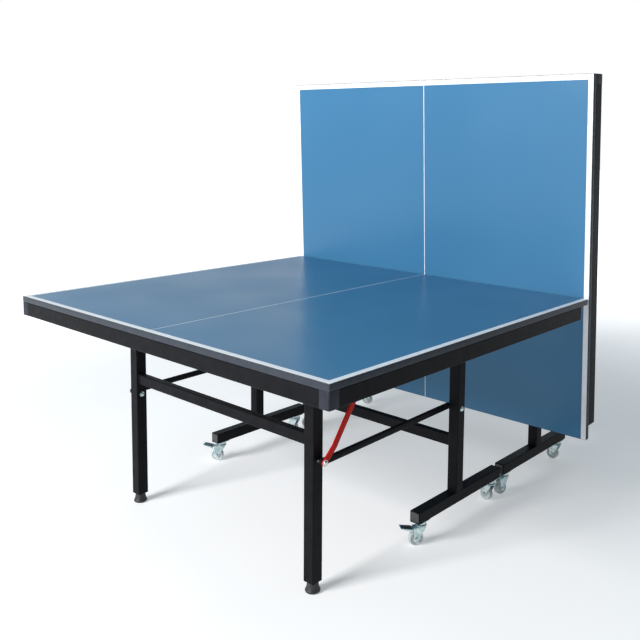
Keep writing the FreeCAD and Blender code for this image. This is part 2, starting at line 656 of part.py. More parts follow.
def write_half(suffix, fold, on_floor):
    """Write every node of one half, folded by an angle and placed by its trolley's placement."""
    leg_shift = Placement(leg_bolt_after(fold), Rotation())
    link_turn = turn(-PIVOT_FROM_NET, LINK_POST_Z, -fold)
    lever_turn = leg_shift.multiply(turn(-LEG_FROM_NET, LINK_LEG_Z, LEVER_PER_FOLD * fold))
    groups = (
        (half_nodes(), turn(-PIVOT_FROM_NET, PIVOT_Z, -fold)),
        (trolley_nodes(), Placement()),
        (leg_nodes(), leg_shift),
        ({"leg_links": both_sides(make_link())}, link_turn),
        ({"safety_lever": make_lever()}, lever_turn),
    )
    for nodes, placement in groups:
        for name, solids in nodes.items():
            export(name + "_" + suffix, solids, on_floor.multiply(placement))


def write_castors(suffix, on_floor):
    """Write fork, wheel and, on the outer pair, brake pedal of each castor of one trolley."""
    for side, end, x, y in castor_places():
        centre = on_floor.multVec(Vector(x, y, 0))
        world_side = "right" if centre.x > 0 else "left"
        heading = HEADINGS[suffix][(world_side, end)]
        place = Placement(centre, Rotation(Z_AXIS, heading))
        braked = end == "outer"
        label = world_side + "_" + end + "_" + suffix
        export("castor_fork_" + label, make_fork(braked), place)
        export("castor_wheel_" + label, make_wheel(), place)
        if braked:
            export("brake_pedal_" + label, make_pedal(), place)


def main():
    os.makedirs("parts", exist_ok=True)
    trolley_b = Placement(Vector(0, PIVOT_B_Y - PIVOT_FROM_NET, 0), Rotation(Z_AXIS, 180))
    for suffix, fold, on_floor in (("a", 0.0, Placement()), ("b", FOLD_ANGLE, trolley_b)):
        write_half(suffix, fold, on_floor)
        write_castors(suffix, on_floor)


main()
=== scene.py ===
import bmesh
import bpy
import json
import math
from mathutils import Matrix, Vector


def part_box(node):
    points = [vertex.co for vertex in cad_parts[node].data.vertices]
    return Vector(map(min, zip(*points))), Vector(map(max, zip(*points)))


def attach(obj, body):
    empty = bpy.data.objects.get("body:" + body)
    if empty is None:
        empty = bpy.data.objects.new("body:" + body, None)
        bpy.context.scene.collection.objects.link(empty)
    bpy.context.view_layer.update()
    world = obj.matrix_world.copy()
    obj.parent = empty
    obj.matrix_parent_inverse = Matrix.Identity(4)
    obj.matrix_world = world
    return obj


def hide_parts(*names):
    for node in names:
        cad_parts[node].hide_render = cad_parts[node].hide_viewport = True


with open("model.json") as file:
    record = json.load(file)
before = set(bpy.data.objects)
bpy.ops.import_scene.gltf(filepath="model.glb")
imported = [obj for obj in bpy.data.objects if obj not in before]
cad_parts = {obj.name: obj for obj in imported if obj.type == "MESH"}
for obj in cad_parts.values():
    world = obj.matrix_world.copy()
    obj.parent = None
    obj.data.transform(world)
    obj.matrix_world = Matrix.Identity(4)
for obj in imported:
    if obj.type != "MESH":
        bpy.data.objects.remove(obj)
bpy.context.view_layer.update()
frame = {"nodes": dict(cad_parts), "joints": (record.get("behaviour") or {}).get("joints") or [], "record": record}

# Pieces are built in millimetres in the play position of one half: net line at Y = 0, the half
# reaching towards -Y, the floor at Z = 0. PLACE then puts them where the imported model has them.
MM = 0.001
JOINTS = {joint["name"]: joint for joint in frame["joints"]}
COUPLINGS = {c["joint"]: c for c in frame["record"]["behaviour"]["couplings"]}
NET_LINE_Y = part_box("edge_bands_a")[1].y


def play_box(node):
    """Lowest and highest corner of a node of half A in millimetres, in play coordinates."""
    return [Vector((corner.x, corner.y - NET_LINE_Y, corner.z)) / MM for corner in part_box(node)]


def play_point(joint):
    """Where a joint of half A is, in millimetres, in play coordinates."""
    x, y, z = JOINTS[joint]["pos_m"]
    return Vector((x, y - NET_LINE_Y, z)) / MM


# Sizes read from the frame
BANDS = play_box("edge_bands_a")
BOARD = play_box("board_a")
END_APRON = play_box("end_apron_a")
SIDE_APRONS = play_box("side_aprons_a")
LEGS = play_box("legs_a")
POSTS = play_box("posts_a")
FOOT_BARS = play_box("foot_bars_a")
LEG_BAR = play_box("leg_crossbar_a")
TROLLEY_BAR = play_box("trolley_crossbar_a")
FEET = play_box("leg_feet_a")
LINKS = play_box("leg_links_a")
LEVER = play_box("safety_lever_a")
PIVOT = play_point("fold_a")
LEG_HINGE = play_point("leg_fold_a")
LINK_PIVOT = play_point("link_turn_a")
LEVER_PIVOT = play_point("lever_swing_a")

HALF_WIDTH = BANDS[1].x
END_Y = BANDS[0].y
TOP = BANDS[1].z
BOARD_BOTTOM = BOARD[0].z
APRON_BOTTOM = END_APRON[0].z
APRON_THICKNESS = END_APRON[1].y - END_APRON[0].y
CAP_LENGTH = HALF_WIDTH - END_APRON[1].x
BAND_THICKNESS = HALF_WIDTH - BOARD[1].x
LEG_SIZE = LEGS[1].y - LEGS[0].y
POST_SIZE = POSTS[1].y - POSTS[0].y
LEG_X = LEGS[1].x - LEG_SIZE / 2
POST_X = POSTS[1].x - POST_SIZE / 2
FOLD = math.radians(JOINTS["fold_b"]["range_deg"][1])


def place_b(joint, local, turn):
    """Half B: a point of the play position goes to a joint's place, turned round and folded."""
    world = Matrix.Translation(Vector(JOINTS[joint]["pos_m"]))
    turned = Matrix.Rotation(math.pi, 4, "Z") @ Matrix.Rotation(turn, 4, "X")
    return world @ turned @ Matrix.Translation(-local * MM) @ Matrix.Scale(MM, 4)


def places():
    """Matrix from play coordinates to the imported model, for each group of each half."""
    play = Matrix.Translation((0, NET_LINE_Y, 0)) @ Matrix.Scale(MM, 4)
    result = {(group, "a"): play for group in ("half", "trolley", "leg", "link", "lever")}
    lever_turn = FOLD * COUPLINGS["lever_swing_b"]["ratio"]
    result["half", "b"] = place_b("fold_b", PIVOT, -FOLD)
    result["trolley", "b"] = place_b("fold_b", PIVOT, 0.0)
    result["leg", "b"] = place_b("leg_fold_b", LEG_HINGE, 0.0)
    result["link", "b"] = place_b("link_turn_b", LINK_PIVOT, -FOLD)
    result["lever", "b"] = place_b("lever_swing_b", LEVER_PIVOT, lever_turn)
    return result


PLACE = places()
BODY = {"half": "half_", "trolley": "trolley_", "leg": "leg_frame_", "link": "links_", "lever": "lever_"}


# ---------------------------------------------------------------- node helpers

def color_ramp(nodes, positions, colors):
    """Ramp from one colour to another between two positions."""
    node = nodes.new("ShaderNodeValToRGB")
    for element, position, color in zip(node.color_ramp.elements, positions, colors):
        element.position = position
        element.color = (*color, 1)
    return node


def map_range(nodes, values, results):
    """Node that turns one span of values into another; both are (low, high)."""
    node = nodes.new("ShaderNodeMapRange")
    for socket, value in zip(("From Min", "From Max", "To Min", "To Max"), (*values, *results)):
        node.inputs[socket].default_value = value
    return node


def vector_math(nodes, operation):
    node = nodes.new("ShaderNodeVectorMath")
    node.operation = operation
    return node


def towards_wall(nodes, links, direction):
    """Output that says how nearly a direction points at the white wall."""
    facing = vector_math(nodes, "DOT_PRODUCT")
    facing.inputs[1].default_value = WHITE_WALL
    links.new(direction, facing.inputs[0])
    return facing.outputs["Value"]


# ---------------------------------------------------------------- materials

# Parts of a noise's values over which colour and roughness change
COLOR_SPAN = (0.32, 0.68)
ROUGHNESS_SPAN = (0.3, 0.7)


def finish(name, colors, color_scale, roughness, bump=None, metallic=0.0, detail=6, **constants):
    """Procedural finish: colour and roughness wander between two values, over a fine bump.

    colors and roughness are (low, high); scales are noise scales per metre; bump is (scale, depth).
    """
    material = bpy.data.materials.new(name)
    material.use_nodes = True
    nodes = material.node_tree.nodes
    links = material.node_tree.links
    shader = nodes["Principled BSDF"]
    shader.inputs["Metallic"].default_value = metallic
    for socket, value in constants.items():
        shader.inputs[socket.replace("_", " ")].default_value = value
    coordinates = nodes.new("ShaderNodeTexCoord")

    def noise(scale, octaves):
        node = nodes.new("ShaderNodeTexNoise")
        node.inputs["Scale"].default_value = scale
        node.inputs["Detail"].default_value = octaves
        links.new(coordinates.outputs["Object"], node.inputs["Vector"])
        return node.outputs["Fac"]

    ramp = color_ramp(nodes, COLOR_SPAN, colors)
    links.new(noise(color_scale, detail), ramp.inputs["Fac"])
    links.new(ramp.outputs["Color"], shader.inputs["Base Color"])

    spread = map_range(nodes, ROUGHNESS_SPAN, roughness)
    links.new(noise(color_scale * 2.3, min(detail, 4)), spread.inputs["Value"])
    links.new(spread.outputs["Result"], shader.inputs["Roughness"])

    if bump:
        relief = nodes.new("ShaderNodeBump")
        relief.inputs["Strength"].default_value = 1.0
        relief.inputs["Distance"].default_value = bump[1]
        links.new(noise(bump[0], 3), relief.inputs["Height"])
        links.new(relief.outputs["Normal"], shader.inputs["Normal"])
    return material


LACQUER = finish("blue_lacquer", ((0.045, 0.172, 0.322), (0.050, 0.182, 0.336)), 2.0, (0.28, 0.33),
                 bump=(1400.0, 0.000003), detail=0, Specular_IOR_Level=0.3)
LINE_PAINT = finish("white_line_paint", ((0.80, 0.83, 0.86), (0.88, 0.90, 0.92)), 30.0, (0.35, 0.45),
                    bump=(500.0, 0.00002))
BACKING = finish("board_backing", ((0.030, 0.026, 0.022), (0.052, 0.045, 0.038)), 160.0, (0.55, 0.75),
                 bump=(700.0, 0.00005))
EDGE_PLASTIC = finish("edge_plastic", ((0.034, 0.040, 0.051), (0.042, 0.049, 0.061)), 40.0, (0.36, 0.48),
                      bump=(1500.0, 0.00002), Specular_IOR_Level=0.12)
STEEL = finish("black_powder_coat", ((0.0045, 0.0045, 0.0056), (0.0075, 0.0075, 0.0095)), 25.0, (0.36, 0.48),
               bump=(900.0, 0.00004), Specular_IOR_Level=0.07)
CAP_PLASTIC = finish("corner_plastic", ((0.020, 0.022, 0.030), (0.028, 0.031, 0.041)), 60.0, (0.40, 0.52),
                     bump=(2500.0, 0.00004), Specular_IOR_Level=0.12)
PLUG_PLASTIC = finish("plug_plastic", ((0.036, 0.039, 0.038), (0.052, 0.056, 0.054)), 90.0, (0.45, 0.6),
                      bump=(2500.0, 0.00004))
ZINC = finish("zinc_plate", ((0.36, 0.52, 0.53), (0.72, 0.80, 0.81)), 70.0, (0.14, 0.32),
              bump=(500.0, 0.00003), metallic=1.0)
RUBBER = finish("foot_rubber", ((0.012, 0.014, 0.014), (0.022, 0.024, 0.025)), 120.0, (0.42, 0.58),
                bump=(2000.0, 0.00005))
RED_STEEL = finish("red_powder_coat", ((0.38, 0.004, 0.002), (0.50, 0.007, 0.004)), 45.0, (0.30, 0.42),
                   bump=(1100.0, 0.00004), Specular_IOR_Level=0.12)
WHEEL_PLASTIC = finish("wheel_polyurethane", ((0.58, 0.63, 0.63), (0.70, 0.74, 0.74)), 90.0, (0.22, 0.34),
                       bump=(900.0, 0.00003), Transmission_Weight=0.25, IOR=1.48)
HUB_PLASTIC = finish("wheel_hub", ((0.50, 0.54, 0.54), (0.60, 0.64, 0.64)), 120.0, (0.3, 0.42),
                     bump=(1500.0, 0.00003))
NYLON = finish("nylon_washer", ((0.72, 0.58, 0.58), (0.80, 0.68, 0.68)), 200.0, (0.4, 0.5),
               bump=(2500.0, 0.00002))
PEDAL_PAD = finish("pedal_pad", ((0.008, 0.012, 0.013), (0.014, 0.020, 0.021)), 200.0, (0.4, 0.55),
                   bump=(2200.0, 0.00005))
FLOOR = finish("pale_floor", ((0.86, 0.86, 0.86), (0.88, 0.88, 0.88)), 2.0, (0.6, 0.7), detail=0,
               Emission_Color=(1, 1, 1, 1), Specular_IOR_Level=0.1)


def brighten_far_floor(near, far, dim, away, bright):
    """The floor glows a little near the table and fades to the room's brightness further off.

    It fades to white on the side of the white wall and to a weak glow, away, on the others.
    """
    nodes = FLOOR.node_tree.nodes
    links = FLOOR.node_tree.links
    coordinates = nodes.new("ShaderNodeTexCoord")
    distance = vector_math(nodes, "LENGTH")
    links.new(coordinates.outputs["Object"], distance.inputs[0])
    direction = vector_math(nodes, "NORMALIZE")
    links.new(coordinates.outputs["Object"], direction.inputs[0])
    horizon = map_range(nodes, ROOM_FADE, (away, bright))
    links.new(towards_wall(nodes, links, direction.outputs["Vector"]), horizon.inputs["Value"])
    fade = map_range(nodes, (near, far), (dim, bright))
    fade.interpolation_type = "SMOOTHSTEP"
    links.new(distance.outputs["Value"], fade.inputs["Value"])
    links.new(horizon.outputs["Result"], fade.inputs["To Max"])
    links.new(fade.outputs["Result"], nodes["Principled BSDF"].inputs["Emission Strength"])


# ---------------------------------------------------------------- mesh tools

def merged(parts):
    """One bmesh from several, each kept as its own closed shell."""
    whole = bmesh.new()
    for part in parts:
        mesh = bpy.data.meshes.new("scratch")
        part.to_mesh(mesh)
        part.free()
        whole.from_mesh(mesh)
        bpy.data.meshes.remove(mesh)
    return whole


def transformed(shape, matrix):
    bmesh.ops.transform(shape, matrix=matrix, verts=shape.verts)
    if matrix.determinant() < 0:
        bmesh.ops.reverse_faces(shape, faces=shape.faces)
    return shape


def copied(shape, matrix):
    return transformed(shape.copy(), matrix)


MIRROR = Matrix.Scale(-1, 4, (1, 0, 0))


def both_sides(shape):
    """The shape and its mirror image across the table's centre plane."""
    return merged([shape.copy(), transformed(shape, MIRROR)])


def tinted(shape, index):
    """Gives every face of a shape one material slot."""
    for face in shape.faces:
        face.material_index = index
    return shape


def beveled(shape, width, segments=2, least_angle=30.0, keep=None):
    """Rounds the sharp edges; keep is an optional test of which edges to round."""
    limit = math.radians(least_angle)
    edges = [e for e in shape.edges if len(e.link_faces) == 2 and e.calc_face_angle(0) > limit]
    if keep:
        edges = [e for e in edges if keep(e)]
    bmesh.ops.bevel(shape, geom=edges, offset=width, segments=segments, profile=0.5,
                    affect="EDGES", clamp_overlap=True)
    return shape


def prism(outline, axis, start, end):
    """Solid from a closed outline in the plane across an axis, from start to end along it."""
    shape = bmesh.new()
    order = {"X": (2, 0, 1), "Y": (0, 2, 1), "Z": (0, 1, 2)}[axis]
    low, high = ([shape.verts.new([(u, v, w)[i] for i in order]) for u, v in outline] for w in (start, end))
    shape.faces.new(low[::-1])
    shape.faces.new(high)
    count = len(outline)
    for i in range(count):
        j = (i + 1) % count
        shape.faces.new((low[i], low[j], high[j], high[i]))
    bmesh.ops.recalc_face_normals(shape, faces=shape.faces)
    return shape


def arc(centre, radius, start, end, steps):
    """Points on an arc, from one angle to another in degrees, both ends included."""
    points = []
    for i in range(steps + 1):
        angle = math.radians(start + (end - start) * i / steps)
        points.append((centre[0] + radius * math.cos(angle), centre[1] + radius * math.sin(angle)))
    return points


CORNER_STEPS = 4


def rounded_rectangle(low, high, radius):
    """Outline of a rectangle with round corners, anticlockwise."""
    corners = ((high[0] - radius, low[1] + radius, -90), (high[0] - radius, high[1] - radius, 0),
               (low[0] + radius, high[1] - radius, 90), (low[0] + radius, low[1] + radius, 180))
    outline = []
    for x, y, start in corners:
        outline += arc((x, y), radius, start, start + 90, CORNER_STEPS)
    return outline


def block(low, high, radius=0.8, segments=2):
    """Box between two corners with every edge rounded."""
    outline = [(low[0], low[1]), (high[0], low[1]), (high[0], high[1]), (low[0], high[1])]
    return beveled(prism(outline, "Z", low[2], high[2]), radius, segments)


def lathe(profile, steps=32):
    """Closed solid turned about the Z axis from (radius, height) points, bottom to top."""
    shape = bmesh.new()
    rings = []
    for radius, height in profile:
        if radius < 1e-6:
            rings.append([shape.verts.new((0, 0, height))])
            continue
        ring = []
        for i in range(steps):
            angle = math.tau * i / steps
            ring.append(shape.verts.new((radius * math.cos(angle), radius * math.sin(angle), height)))
        rings.append(ring)
    closed = len(rings[0]) > 1 and len(rings[-1]) > 1
    pairs = list(zip(rings[:-1], rings[1:])) + ([(rings[-1], rings[0])] if closed else [])
    for lower, upper in pairs:
        for i in range(steps):
            j = (i + 1) % steps
            if len(lower) == 1:
                shape.faces.new((lower[0], upper[j], upper[i]))
            elif len(upper) == 1:
                shape.faces.new((lower[i], lower[j], upper[0]))
            else:
                shape.faces.new((lower[i], lower[j], upper[j], upper[i]))
    bmesh.ops.recalc_face_normals(shape, faces=shape.faces)
    return shape


TURN_OVER = Matrix.Rotation(math.pi, 4, "X")
Z_TO_Y = Matrix.Rotation(-math.pi / 2, 4, "X")


def along_x(x, y, z, outward=1):
    """Matrix that lays a turned part's axis along X, its base at a point, pointing out of the table."""
    return Matrix.Translation((x, y, z)) @ Matrix.Rotation(outward * math.pi / 2, 4, "Y")


HEAD_CHAMFER = 0.8


def hex_head(across, height):
    """Hexagon bolt head or nut, base at Z = 0, with its corners turned down."""
    radius = across / math.sqrt(3)
    outline = [(radius * math.cos(math.tau * i / 6), radius * math.sin(math.tau * i / 6)) for i in range(6)]
    head = prism(outline, "Z", 0, height)
    return beveled(head, HEAD_CHAMFER, 2, keep=lambda e: min(v.co.z for v in e.verts) > height / 2)


def washer(radius, hole, height):
    return lathe([(hole, 0), (radius - 0.3, 0), (radius, 0.3), (radius, height - 0.3),
                  (radius - 0.3, height), (hole, height)], 40)


def rod(radius, start, end):
    """Round bar along the Z axis."""
    return lathe([(0, start), (radius, start), (radius, end), (0, end)])


def hanging(shape, x, y, z):
    """A shape made with its base at Z = 0, turned upside down under a point."""
    return transformed(shape, Matrix.Translation((x, y, z)) @ TURN_OVER)


def dome_head(radius, height):
    """Round head with a shallow dimple for the driver, base at Z = 0."""
    steps = 6
    profile = [(0, 0), (radius, 0)]
    for i in range(steps + 1):
        angle = math.pi / 2 * i / steps
        profile.append((radius * (0.25 + 0.75 * math.cos(angle)), height * (0.25 + 0.75 * math.sin(angle))))
    profile.append((0, height * 0.72))
    return lathe(profile)


def piece(name, shape, materials, group, suffix, replaced=()):
    """Makes the object, puts it in its place, hangs it on the body it rides on and hides the nodes it stands for.
    """
    transformed(shape, PLACE[group, suffix])
    make(name + "_" + suffix, shape, materials, BODY[group] + suffix,
         [node + "_" + suffix for node in replaced])


SHARP_ANGLE = 38.0


def make(name, shape, materials, body, replaced=()):
    """Makes the object from a shape that is already in its place."""
    limit = math.radians(SHARP_ANGLE)
    for face in shape.faces:
        face.smooth = True
    for edge in shape.edges:
        edge.smooth = len(edge.link_faces) == 2 and edge.calc_face_angle(0) < limit
    mesh = bpy.data.meshes.new(name)
    shape.to_mesh(mesh)
    shape.free()
    for material in materials:
        mesh.materials.append(material)
    made = bpy.data.objects.new(name, mesh)
    bpy.context.scene.collection.objects.link(made)
    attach(made, body)
    if replaced:
        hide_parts(*replaced)
    return made


# ---------------------------------------------------------------- carried-over CAD nodes

NODE_FINISHES = {
    "board": LACQUER, "edge_bands": EDGE_PLASTIC, "end_apron": STEEL, "side_aprons": STEEL,
    "corner_caps": CAP_PLASTIC, "underframe": STEEL, "pivot_brackets": STEEL, "leg_brackets": STEEL,
    "foot_bars": STEEL, "posts": STEEL, "trolley_crossbar": STEEL, "bar_plugs": PLUG_PLASTIC,
    "post_bolts": ZINC, "castor_stems": ZINC, "legs": STEEL, "leg_crossbar": STEEL, "leg_feet": RUBBER,
    "leg_bolts": ZINC, "leg_links": STEEL, "safety_lever": RED_STEEL, "castor_fork": ZINC,
    "castor_wheel": WHEEL_PLASTIC, "brake_pedal": ZINC,
}


def finish_nodes():
    for name, node in frame["nodes"].items():
        key = max((k for k in NODE_FINISHES if name.startswith(k)), key=len)
        for slot in node.material_slots:
            slot.material = NODE_FINISHES[key]
        if not node.material_slots:
            node.data.materials.append(NODE_FINISHES[key])


# ---------------------------------------------------------------- the two tops

LINE_WIDTH = 20.0
CENTRE_LINE_WIDTH = 3.0
PAINT = 0.15


def make_board(suffix):
    """Lacquered board: blue on the playing face, a dark sealed sheet on its edges and underside."""
    outline = rounded_rectangle(BOARD[0][:2], BOARD[1][:2], 2.0)
    board = tinted(prism(outline, "Z", BOARD[0].z, BOARD[1].z), 1)
    for face in board.faces:
        if face.normal.z > 0.9:
            face.material_index = 0
    piece("board_panel", board, [LACQUER, BACKING], "half", suffix, ["board"])


def make_lines(suffix):
    """White side and end lines as one painted U, and the thin centre line."""
    x, start, net = BOARD[1].x, BOARD[0].y, BOARD[1].y
    inner = x - LINE_WIDTH
    border = [(-x, net), (-x, start), (x, start), (x, net),
              (inner, net), (inner, start + LINE_WIDTH), (-inner, start + LINE_WIDTH), (-inner, net)]
    half = CENTRE_LINE_WIDTH / 2
    centre = [(-half, start + LINE_WIDTH), (half, start + LINE_WIDTH), (half, net), (-half, net)]
    lines = merged([prism(outline, "Z", TOP - 0.05, TOP + PAINT) for outline in (border, centre)])
    piece("court_lines", lines, [LINE_PAINT], "half", suffix)


def make_bands(suffix):
    """Edge band round the board, its outer corners and both its edges rounded."""
    outer_low = (-HALF_WIDTH, END_Y)
    outer_high = (HALF_WIDTH, 0.0)
    rows = []
    for inset, z in ((BAND_THICKNESS, BOARD_BOTTOM), (0.8, BOARD_BOTTOM), (0.2, BOARD_BOTTOM + 0.25),
                     (0.0, BOARD_BOTTOM + 0.9), (0.0, TOP - 0.9), (0.2, TOP - 0.25), (0.8, TOP),
                     (BAND_THICKNESS, TOP)):
        low = (outer_low[0] + inset, outer_low[1] + inset)
        high = (outer_high[0] - inset, outer_high[1] - inset)
        rows.append([(x, y, z) for x, y in rounded_rectangle(low, high, 3.5 - inset)])
    band = bmesh.new()
    rings = [[band.verts.new(point) for point in row] for row in rows]
    for lower, upper in zip(rings, rings[1:] + rings[:1]):
        for i in range(len(lower)):
            j = (i + 1) % len(lower)
            band.faces.new((lower[i], lower[j], upper[j], upper[i]))
    bmesh.ops.recalc_face_normals(band, faces=band.faces)
    piece("edge_band", band, [EDGE_PLASTIC], "half", suffix, ["edge_bands"])


CAP_RADIUS = 5.0
CAP_INNER_RADIUS = 3.0
CAP_SCREW_IN = 14.0


def make_caps(suffix):
    """Corner moulding with a rounded outer corner, a soft edge all round and a fixing screw below."""
    x, y = HALF_WIDTH, END_Y
    outline = [(x - CAP_LENGTH, y)] + arc((x - CAP_RADIUS, y + CAP_RADIUS), CAP_RADIUS, -90, 0, 8)
    outline += [(x, y + CAP_LENGTH), (x - APRON_THICKNESS, y + CAP_LENGTH)]
    inside = APRON_THICKNESS + CAP_INNER_RADIUS
    outline += arc((x - inside, y + inside), CAP_INNER_RADIUS, 0, -90, 3)
    outline += [(x - CAP_LENGTH, y + APRON_THICKNESS)]
    cap = beveled(prism(outline, "Z", APRON_BOTTOM, BOARD_BOTTOM - 0.2), 1.2, 3)
    screw = hanging(dome_head(4.0, 2.2), x - CAP_SCREW_IN, y + CAP_SCREW_IN, APRON_BOTTOM)
    caps = both_sides(merged([tinted(cap, 0), tinted(screw, 1)]))
    piece("corner_cap", caps, [CAP_PLASTIC, ZINC], "half", suffix, ["corner_caps"])


def make_tops():
    for suffix in "ab":
        make_board(suffix)
        make_lines(suffix)
        make_bands(suffix)
        make_caps(suffix)


# ---------------------------------------------------------------- sheet, bars and welds

def shell(outer, inner):
    """Closed sheet between two grids of points of the same size."""
    shape = bmesh.new()
    grids = [[[shape.verts.new(point) for point in row] for row in grid] for grid in (outer, inner)]
    rows, columns = len(outer), len(outer[0])
    for grid in grids:
        for i in range(rows - 1):
            for j in range(columns - 1):
                shape.faces.new((grid[i][j], grid[i][j + 1], grid[i + 1][j + 1], grid[i + 1][j]))
    rim = [(0, j) for j in range(columns)] + [(i, columns - 1) for i in range(1, rows)]
    rim += [(rows - 1, j) for j in range(columns - 2, -1, -1)] + [(i, 0) for i in range(rows - 2, 0, -1)]
    for (a, b), (c, d) in zip(rim, rim[1:] + rim[:1]):
        shape.faces.new((grids[0][a][b], grids[0][c][d], grids[1][c][d], grids[1][a][b]))
    bmesh.ops.recalc_face_normals(shape, faces=shape.faces)
    return shape


def channel_row(x, half, top, bottom, radius):
    """One cross-section of a sheet bent down on both sides: points in the plane of constant x."""
    left = arc((-half + radius, top - radius), radius, 180, 90, 4)
    right = arc((half - radius, top - radius), radius, 90, 0, 4)
    return [(x, y, z) for y, z in [(-half, bottom)] + left + right + [(half, bottom)]]


def channel(stations, thickness, radius):
    """Bent sheet from (x, half width, top, bottom of the sides) stations."""
    outer = [channel_row(x, half, top, low, radius) for x, half, top, low in stations]
    inner = [channel_row(x, half - thickness, top - thickness, low, max(radius - thickness, 0.3))
             for x, half, top, low in stations]
    return shell(outer, inner)


RIPPLE_PITCH = 3.4
BEAD_SIDES = 8


def bead(points, radius, closed=False):
    """Weld bead: a rippled round string along a path, tapered at its ends when it is open."""
    shape = bmesh.new()
    path = []
    spans = list(zip(points, points[1:] + points[:1])) if closed else list(zip(points[:-1], points[1:]))
    for start, end in spans:
        start, end = Vector(start), Vector(end)
        steps = max(1, round((end - start).length / (RIPPLE_PITCH / 3)))
        path += [start.lerp(end, i / steps) for i in range(steps)]
    if not closed:
        path.append(Vector(points[-1]))
    rings = []
    count = len(path)
    for i, point in enumerate(path):
        before = path[i - 1] if closed or i else path[0]
        after = path[(i + 1) % count] if closed or i < count - 1 else path[-1]
        along = (after - before).normalized()
        side = along.orthogonal() if abs(along.z) > 0.9 else along.cross(Vector((0, 0, 1)))
        side.normalize()
        up = side.cross(along)
        size = radius * (1 + 0.14 * math.sin(math.tau * i / 3 + 0.6))
        if not closed and i in (0, count - 1):
            size *= 0.35
        ring = []
        for k in range(BEAD_SIDES):
            angle = math.tau * k / BEAD_SIDES
            ring.append(shape.verts.new(point + side * size * math.cos(angle) + up * size * math.sin(angle)))
        rings.append(ring)
    pairs = list(zip(rings[:-1], rings[1:])) + ([(rings[-1], rings[0])] if closed else [])
    for lower, upper in pairs:
        for k in range(BEAD_SIDES):
            m = (k + 1) % BEAD_SIDES
            shape.faces.new((lower[k], lower[m], upper[m], upper[k]))
    if not closed:
        shape.faces.new(rings[0][::-1])
        shape.faces.new(rings[-1])
    bmesh.ops.recalc_face_normals(shape, faces=shape.faces)
    return shape


def bar_outline(points, width, notch=None):
    """Outline of a flat bar with round ends along a row of (y, z) points.

    notch is (distance back from the last point, radius) of a bite out of the lower edge.
    """
    half = width / 2
    upper, lower = [], []
    angles = [math.atan2(b[1] - a[1], b[0] - a[0]) for a, b in zip(points[:-1], points[1:])]
    for i in range(1, len(points) - 1):
        middle = (angles[i - 1] + angles[i]) / 2
        reach = half / math.cos((angles[i] - angles[i - 1]) / 2)
        offset = (-math.sin(middle) * reach, math.cos(middle) * reach)
        upper.append((points[i][0] + offset[0], points[i][1] + offset[1]))
        lower.append((points[i][0] - offset[0], points[i][1] - offset[1]))
    first, last = math.degrees(angles[0]), math.degrees(angles[-1])
    bite = []
    if notch:
        back, radius = notch
        end, angle = points[-1], angles[-1]
        centre = (end[0] - back * math.cos(angle) + half * math.sin(angle),
                  end[1] - back * math.sin(angle) - half * math.cos(angle))
        bite = arc(centre, radius, last + 180, last, 10)
    start_cap = arc(points[0], half, first + 90, first + 270, 12)
    end_cap = arc(points[-1], half, last - 90, last + 90, 12)
    return start_cap + lower + bite + end_cap + upper[::-1]


# ---------------------------------------------------------------- legs, links and lever

FOOT_EDGE = 6.0
FOOT_NECK = 17.6
LINK_EDGE = 2.0
LINK_THICKNESS = 12.0
LINK_HEIGHT = 20.0
LINK_OUTER = LINKS[1].x
LINK_INNER = LINK_OUTER - LINK_THICKNESS


def make_feet(suffix):
    """Bell-shaped rubber foot: round lower edge, waist under the tube, square shank inside it."""
    radius = (FEET[1].y - FEET[0].y) / 2
    tube_end = LEGS[0].z
    waist = tube_end - 7
    profile = [(0, 0), (radius - FOOT_EDGE - 4, 0)]
    profile += arc((radius - FOOT_EDGE, FOOT_EDGE), FOOT_EDGE, -90, 10, 8)
    for i in range(1, 9):
        share = i / 8
        flare = (radius - 0.4 - FOOT_NECK) * (1 - share) ** 1.6
        profile.append((FOOT_NECK + flare, FOOT_EDGE + 1 + (waist - FOOT_EDGE - 1) * share))
    profile += [(FOOT_NECK - 0.6, waist + 1.2), (FOOT_NECK - 0.6, tube_end - 0.4), (0, tube_end - 0.4)]
    foot = lathe(profile, 56)
    inner = LEG_SIZE / 2 - 1.8
    shank = block((-inner, -inner, tube_end - 1), (inner, inner, FEET[1].z), 1.5)
    place = Matrix.Translation((LEG_X, LEG_HINGE.y, 0))
    feet = both_sides(transformed(merged([foot, shank]), place))
    piece("leg_foot", feet, [RUBBER], "leg", suffix, ["leg_feet"])


def make_links(suffix):
    ends = [(LEG_HINGE.y, LINK_PIVOT.z + LEG_HINGE.z - PIVOT.z), (LINK_PIVOT.y, LINK_PIVOT.z)]
    bar = prism(bar_outline(ends, LINK_HEIGHT), "X", LINK_INNER, LINK_OUTER)
    bar = beveled(bar, LINK_EDGE, 3, 60)
    piece("leg_link", both_sides(bar), [STEEL], "link", suffix, ["leg_links"])


LEVER_WIDTH = 20.0
LEVER_BEND = (40.0, 38.0)
LEVER_LENGTH = 242.0
LEVER_ANGLE = 54.5
LEVER_NOTCH = (10.0, 8.0)


def make_lever(suffix):
    """Safety lever: a flat bar with one bend and a hooked notch at its upper end."""
    bolt = (LEVER_PIVOT.y, LEVER_PIVOT.z)
    bend = (bolt[0] + LEVER_BEND[0], bolt[1] + LEVER_BEND[1])
    angle = math.radians(LEVER_ANGLE)
    end = (bend[0] + LEVER_LENGTH * math.cos(angle), bend[1] + LEVER_LENGTH * math.sin(angle))
    outline = bar_outline([bolt, bend, end], LEVER_WIDTH, LEVER_NOTCH)
    bar = beveled(prism(outline, "X", LEVER[0].x, LEVER[1].x), 0.9, 3, 60)
    piece("safety_lever", bar, [RED_STEEL], "lever", suffix, ["safety_lever"])


